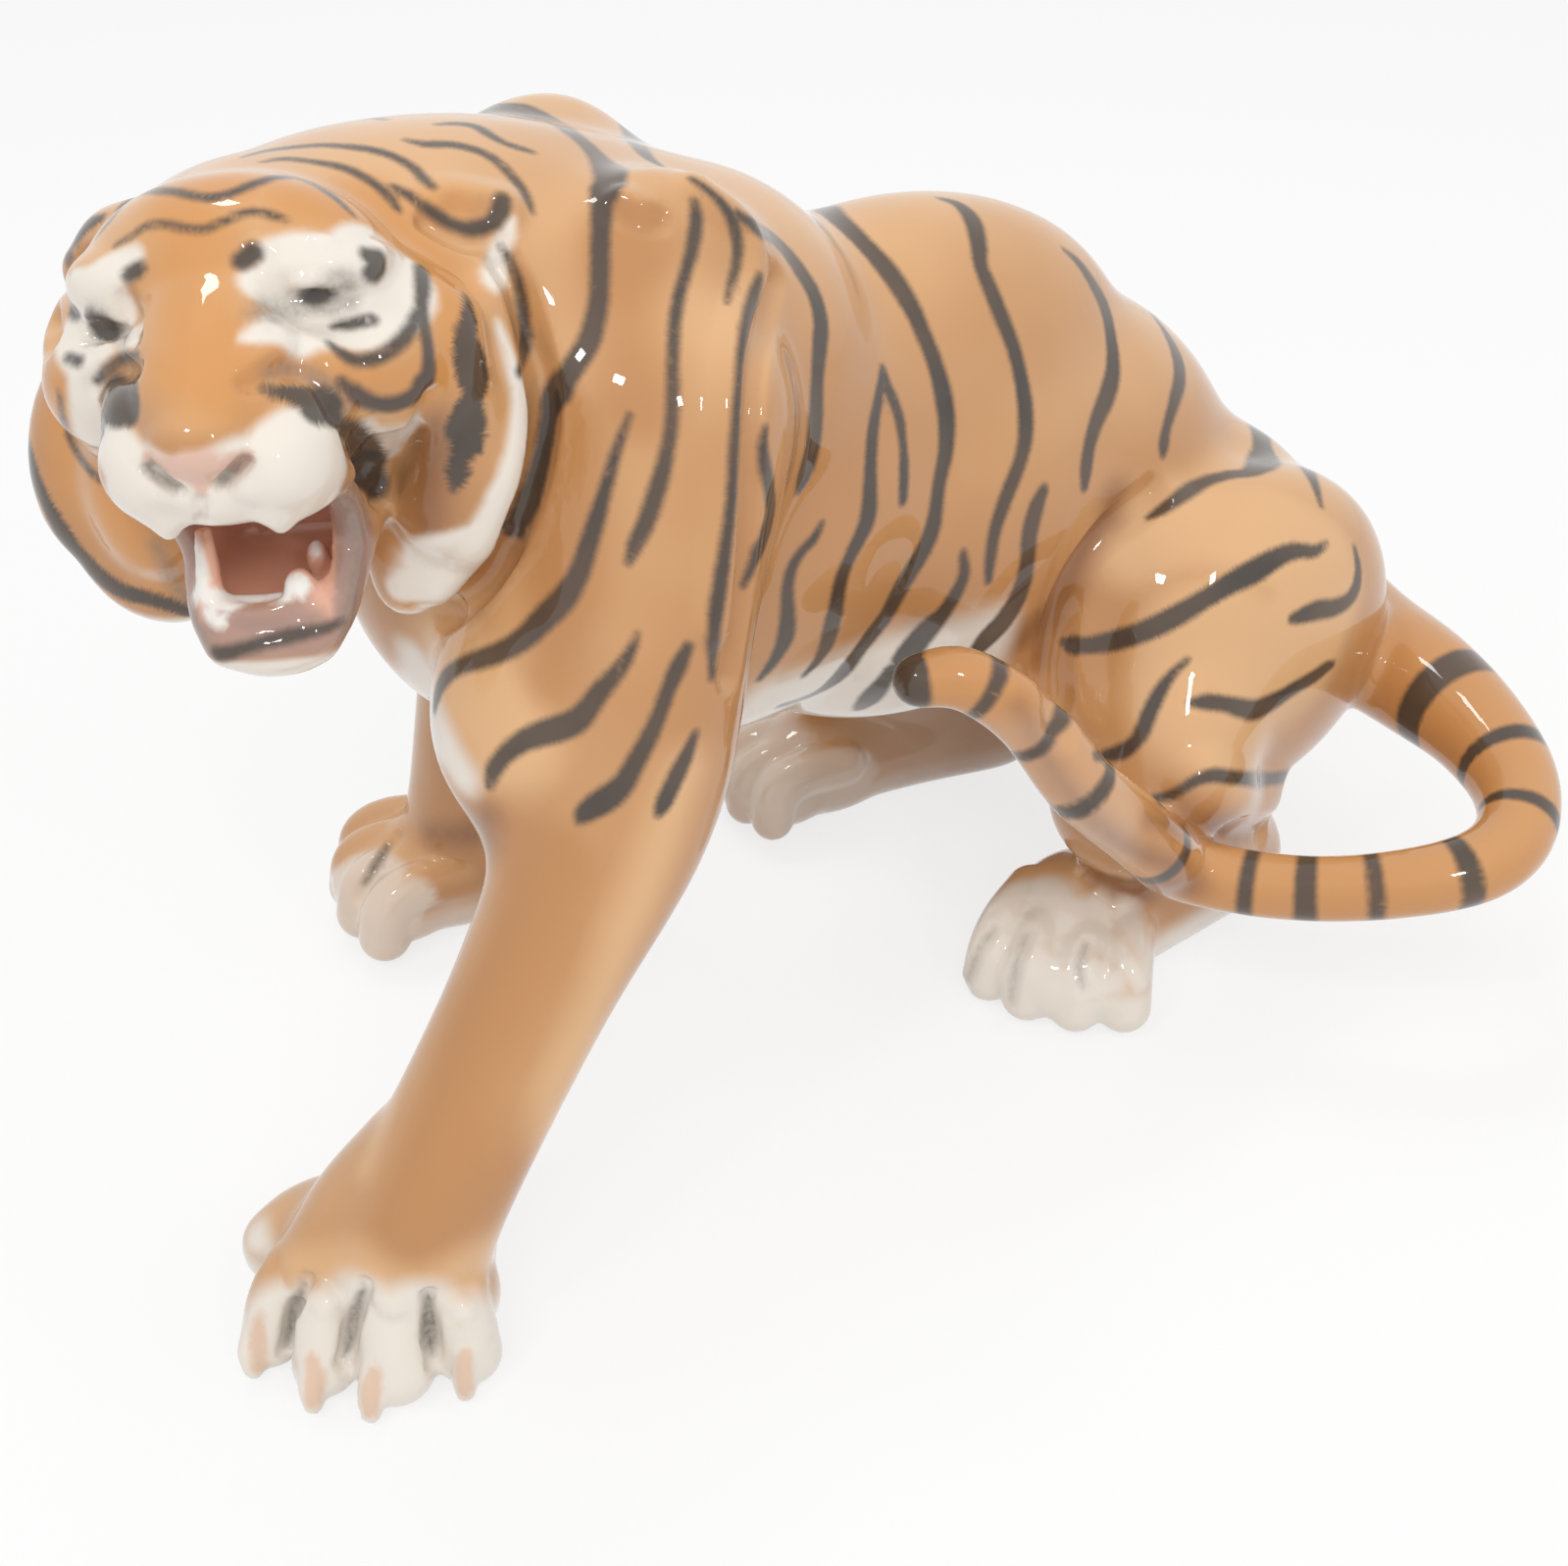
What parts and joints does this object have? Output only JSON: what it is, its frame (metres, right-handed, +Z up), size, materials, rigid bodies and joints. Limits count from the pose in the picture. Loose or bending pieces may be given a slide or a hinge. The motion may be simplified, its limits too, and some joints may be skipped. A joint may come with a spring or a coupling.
{
  "type": "tiger figurine",
  "caption": "Crouching, snarling tiger figure in glazed porcelain, head turned to its left, left forepaw forward, tail curled over the hind foot.",
  "frame": {"origin": "middle of the bounding box, at the floor under the paws", "axes": "+X from head to rump along the body, +Y to the tiger's right, +Z up"},
  "size_m": [0.2662, 0.172, 0.1815],
  "materials": {
    "glazed_porcelain": "glossy clear glaze over underglaze painting"
  },
  "bodies": {
    "root": {"tiger": "glazed_porcelain"}
  },
  "joints": []
}
